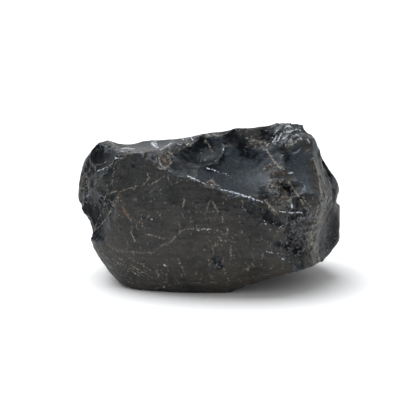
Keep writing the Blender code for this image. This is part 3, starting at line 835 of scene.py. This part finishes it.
# the finish: colours are linear
finish = {
    "rindDark": (0.0055, 0.0055, 0.0055), "rindLight": (0.0285, 0.0284, 0.0277), "rindWarm": (0.043, 0.036, 0.028),
    # the lighter glass tone and the hazy patches are a painted bluish sheen on the fresh glass
    "glassDark": (0.0014, 0.0018, 0.0026), "glassPaintedSheen": (0.008, 0.0115, 0.0165), "paintedSheen": (0.030, 0.037, 0.046),
    "crumbDark": (0.012, 0.011, 0.010), "crumbLight": (0.30, 0.26, 0.20), "crumbBrown": (0.058, 0.044, 0.031),
    "edgeBruiseAndHighlight": (0.30, 0.33, 0.38), "dust": (0.13, 0.12, 0.10),
    "stain": (0.155, 0.092, 0.052), "fine": (0.19, 0.178, 0.16),
    # glint is the colour of the painted highlights
    "scratch": (0.23, 0.21, 0.175), "glint": (0.62, 0.66, 0.74),
    "rindRough": 0.5, "glassRough": 0.42, "glossRough": 0.13, "crumbRough": 0.55,
    "rindShine": 0.32, "glassShine": 0.5, "paintedShadeShine": 0.09,
    "rindTint": (1.0, 0.98, 0.95), "glassTint": (0.82, 0.92, 1.0),
    "rindBump": 0.55, "glassBump": 0.3, "bumpHeight": 0.25,  # the last in mm
}
# how much of each layer covers what is below it
cover = {"warm": 0.6, "fleck": 0.6, "paintedSheen": 0.9, "speck": 0.55, "paintedShadeGlass": 0.8, "paintedShade": 0.9, "edge": 0.5,
         "streak": 0.55}
# lumps per mm, detail, roughness, then stretch
patterns = {
    "mottle": (0.07, 5, 0.62), "blotch": (0.30, 4, 0.6, (1, 1, 1.5)), "brushed": (0.62, 5, 0.72, (0.09, 0.09, 1.0)),
    "grain": (1.6, 3, 0.7), "warm": (0.06, 4, 0.6), "fleck": (0.6, 5, 0.8),
    "cloud": (0.07, 5, 0.65), "paintedSheen": (0.7, 6, 1.0), "speck": (0.8, 4, 0.75), "dusty": (0.09, 3, 0.5),
    "grit": (0.8, 5, 0.8), "brown": (0.35, 4, 0.6), "crumb": (0.25, 4, 0.6),
    "broken": (0.4, 4, 0.65), "streak": (0.3, 3, 0.5), "ragged": (0.9, 4, 0.65),
}
# where each kind of mark starts to show, where it is full, and how much it covers
markShows = {"stain": (0.45, 1.1, 0.75), "fine": (0.38, 0.97, 0.58), "scratch": (0.40, 1.0, 0.88),
             "glint": (0.38, 0.92, 0.9)}


class Graph:
    # short names for the node work of one material
    def __init__(self, material):
        material.use_nodes = True
        self.tree = material.node_tree
        self.shader = self.tree.nodes["Principled BSDF"]

    def add(self, kind, inputs=(), **settings):
        made = self.tree.nodes.new(kind)
        for name, value in settings.items():
            setattr(made, name, value)
        for slot, value in dict(inputs).items():
            self.put(value, made.inputs[slot])
        return made

    def put(self, value, socket):
        if isinstance(value, bpy.types.NodeSocket):
            self.tree.links.new(value, socket)
        elif isinstance(value, tuple) and len(value) == 3 and socket.type == "RGBA":
            socket.default_value = (*value, 1)
        else:
            socket.default_value = value

    def paint(self, name):
        return self.add("ShaderNodeAttribute", attribute_name=name).outputs["Fac"]

    def sums(self, operation, first, second):
        return self.add("ShaderNodeMath", {0: first, 1: second}, operation=operation).outputs[0]

    def plus(self, first, second):
        return self.sums("ADD", first, second)

    def minus(self, first, second):
        return self.sums("SUBTRACT", first, second)

    def times(self, first, second):
        return self.sums("MULTIPLY", first, second)

    def most(self, first, second):
        return self.sums("MAXIMUM", first, second)

    def ramp(self, value, low, high):
        made = self.add("ShaderNodeMapRange", {0: value, 1: low, 2: high}, interpolation_type="SMOOTHSTEP")
        return made.outputs[0]

    def blend(self, part, first, second):
        made = self.add("ShaderNodeMix", {"Factor": part, 6: first, 7: second}, data_type="RGBA")
        return made.outputs[2]

    def between(self, part, first, second):
        made = self.add("ShaderNodeMix", {0: part, 2: first, 3: second}, data_type="FLOAT")
        return made.outputs[0]

    def noise(self, spots, pattern):
        scale, detail, rough, *stretch = patterns[pattern]
        size = tuple(scale * part for part in (stretch[0] if stretch else (1, 1, 1)))
        placed = self.add("ShaderNodeMapping", {"Vector": spots, "Scale": size})
        made = self.add("ShaderNodeTexNoise", {"Vector": placed.outputs[0], "Scale": 1.0, "Detail": detail,
                                               "Roughness": rough, "Distortion": 0.0})
        return made.outputs["Fac"]


def rindColour(g, spots, mottle, blotch, brushed):
    # the worn rind: cloudy, brushed level, warmer low down, with dusty flecks
    tone = g.plus(g.plus(g.times(mottle, 0.55), g.times(blotch, 0.6)), g.times(brushed, 0.75))
    rind = g.blend(g.ramp(tone, 0.78, 1.12), finish["rindDark"], finish["rindLight"])
    height = g.add("ShaderNodeSeparateXYZ", {0: spots}).outputs["Z"]
    low = g.times(g.ramp(height, 60.0, 12.0), g.ramp(g.noise(spots, "warm"), 0.36, 0.62))  # from 60 mm up to 12 mm up
    rind = g.blend(g.times(low, cover["warm"]), rind, finish["rindWarm"])
    fleck = g.ramp(g.noise(spots, "fleck"), 0.56, 0.72)
    return g.blend(g.times(fleck, cover["fleck"]), rind, finish["dust"])


def glassColour(g, spots):
    # fresh glass: nearly black with a painted bluish sheen in cloudy patches, specks of dust
    glass = g.blend(g.ramp(g.noise(spots, "cloud"), 0.38, 0.68), finish["glassDark"], finish["glassPaintedSheen"])
    paintedSheen = g.ramp(g.noise(spots, "paintedSheen"), 0.45, 0.58)
    glass = g.blend(g.times(paintedSheen, cover["paintedSheen"]), glass, finish["paintedSheen"])
    speck = g.times(g.ramp(g.noise(spots, "speck"), 0.59, 0.72), g.ramp(g.noise(spots, "dusty"), 0.42, 0.6))
    return g.blend(g.times(speck, cover["speck"]), glass, finish["dust"])


def crumbColour(g, spots):
    # broken grit, brown and pale
    crumb = g.blend(g.ramp(g.noise(spots, "brown"), 0.4, 0.62), finish["crumbDark"], finish["crumbBrown"])
    return g.blend(g.ramp(g.noise(spots, "grit"), 0.54, 0.68), crumb, finish["crumbLight"])


def obsidian():
    made = bpy.data.materials.new("obsidian")
    g = Graph(made)
    where = g.add("ShaderNodeTexCoord").outputs["Object"]
    spots = g.add("ShaderNodeVectorMath", {0: where, "Scale": 1 / mm}, operation="SCALE").outputs[0]
    mottle, blotch, brushed, grain = (g.noise(spots, name) for name in ("mottle", "blotch", "brushed", "grain"))

    fresh = g.most(g.paint("glass"), g.paint("chip"))
    # painted shade: darker, glassier colour where the painted shade patches lie
    paintedShade = g.ramp(g.plus(g.paint("paintedShade"), g.times(g.minus(blotch, 0.5), 1.2)), 0.15, 0.6)
    fresh = g.most(fresh, g.times(paintedShade, cover["paintedShadeGlass"]))
    colour = g.blend(fresh, rindColour(g, spots, mottle, blotch, brushed), glassColour(g, spots))
    colour = g.blend(g.times(paintedShade, cover["paintedShade"]), colour, finish["glassDark"])

    crumbPart = g.times(g.paint("crumb"), g.ramp(g.noise(spots, "crumb"), 0.38, 0.56))
    colour = g.blend(crumbPart, colour, crumbColour(g, spots))

    # bruised edges with a painted highlight along them, streaks down the right edge
    edge = g.times(g.paint("edge"), g.ramp(g.noise(spots, "broken"), 0.42, 0.6))
    colour = g.blend(g.times(edge, cover["edge"]), colour, finish["edgeBruiseAndHighlight"])
    streak = g.times(g.paint("streak"), g.ramp(g.noise(spots, "streak"), 0.35, 0.6))
    colour = g.blend(g.times(streak, cover["streak"]), colour, finish["scratch"])

    # stains, scratches and painted highlights (the glints and a few light lines among the scratches), all with ragged
    # outlines
    ragged = g.times(g.minus(g.noise(spots, "ragged"), 0.5), 2.4)
    shown = {}
    for name, (low, high, amount) in markShows.items():
        shown[name] = g.times(g.ramp(g.plus(g.paint(name), ragged), low, high), amount)
        colour = g.blend(shown[name], colour, finish[name])
    g.put(colour, g.shader.inputs["Base Color"])

    polish = g.between(g.paint("gloss"), finish["glassRough"], finish["glossRough"])
    rough = g.between(fresh, finish["rindRough"], polish)
    rough = g.between(g.most(crumbPart, shown["scratch"]), rough, finish["crumbRough"])
    g.put(g.plus(rough, g.times(g.minus(brushed, 0.5), 0.15)), g.shader.inputs["Roughness"])
    shine = g.between(fresh, finish["rindShine"], g.times(g.paint("sheen"), finish["glassShine"]))
    # the painted shade also weakens the reflection
    g.put(g.between(paintedShade, shine, finish["paintedShadeShine"]), g.shader.inputs["Specular IOR Level"])
    g.put(g.blend(fresh, finish["rindTint"], finish["glassTint"]), g.shader.inputs["Specular Tint"])

    relief = g.plus(g.times(g.between(fresh, brushed, blotch), 0.6), grain)
    relief = g.minus(relief, g.times(shown["fine"], 1.2))
    strength = g.between(fresh, finish["rindBump"], finish["glassBump"])
    bump = g.add("ShaderNodeBump", {"Strength": strength, "Distance": finish["bumpHeight"] * mm, "Height": relief})
    g.put(bump.outputs[0], g.shader.inputs["Normal"])
    return made


piece.data.materials.clear()
piece.data.materials.append(obsidian())
piece.data.shade_smooth()
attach(piece, "root")
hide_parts("obsidian_chunk")
print("finish laid on")

# the studio: floor, backdrop, light and camera
studio = {
    "floorSize": 8.0,
    "floorColour": (0.95, 0.95, 0.95),
    "world": 0.54,
    "sky": 3.3,           # light that falls on a level surface from overhead
    "skyWidth": 56,       # degrees across
    "skyFrom": (-0.30, 0.20, 1.0),
    "skyColour": (0.96, 0.98, 1.0),
    "lens": 100,          # mm, on a sensor 36 mm wide
    "sensor": 36,
}


def plainFinish(name, values):
    made = bpy.data.materials.new(name)
    made.use_nodes = True
    for socket, value in values.items():
        made.node_tree.nodes["Principled BSDF"].inputs[socket].default_value = value
    return made


def addFloor():
    shape = bmesh.new()
    bmesh.ops.create_grid(shape, x_segments=1, y_segments=1, size=studio["floorSize"] / 2)
    floor = pieceFrom(shape, "floor")
    look = {"Base Color": (*studio["floorColour"], 1), "Roughness": 0.9, "Specular IOR Level": 0.0}
    floor.data.materials.append(plainFinish("floorPaint", look))


def addBackdrop():
    shape = bmesh.new()
    bmesh.ops.create_uvsphere(shape, u_segments=32, v_segments=16, radius=studio["floorSize"] / 2)
    bmesh.ops.reverse_faces(shape, faces=shape.faces)
    backdrop = pieceFrom(shape, "backdrop")
    look = {"Base Color": (0, 0, 0, 1), "Emission Color": (1, 1, 1, 1), "Emission Strength": 1.0}
    backdrop.data.materials.append(plainFinish("backdropGlow", look))
    backdrop.visible_diffuse = False
    backdrop.visible_glossy = False
    backdrop.visible_shadow = False
    backdrop.visible_transmission = False


def addSky():
    light = bpy.data.lights.new("overhead", "SUN")
    light.angle = math.radians(studio["skyWidth"])
    light.energy = studio["sky"]
    light.color = studio["skyColour"]
    lamp = bpy.data.objects.new("overhead", light)
    bpy.context.scene.collection.objects.link(lamp)
    lamp.rotation_euler = Vector(studio["skyFrom"]).to_track_quat("Z", "Y").to_euler()
    world = bpy.data.worlds.new("studio")
    bpy.context.scene.world = world
    world.use_nodes = True
    background = world.node_tree.nodes["Background"]
    background.inputs["Color"].default_value = (1, 1, 1, 1)
    background.inputs["Strength"].default_value = studio["world"]


def addCamera():
    lens = bpy.data.cameras.new("camera")
    lens.lens = studio["lens"]
    lens.sensor_width = studio["sensor"]
    lens.sensor_fit = "HORIZONTAL"
    camera = bpy.data.objects.new("camera", lens)
    bpy.context.scene.collection.objects.link(camera)
    up = math.radians(sheet["lean"])
    back = Vector((0, -math.cos(up), math.sin(up)))
    camera.location = Vector(sheet["middle"]) * mm + back * sheet["reach"] * mm
    camera.rotation_euler = (-back).to_track_quat("-Z", "Y").to_euler()
    bpy.context.scene.camera = camera


addFloor()
addBackdrop()
addSky()
addCamera()
bpy.context.scene.view_settings.view_transform = "Standard"
print("studio set")
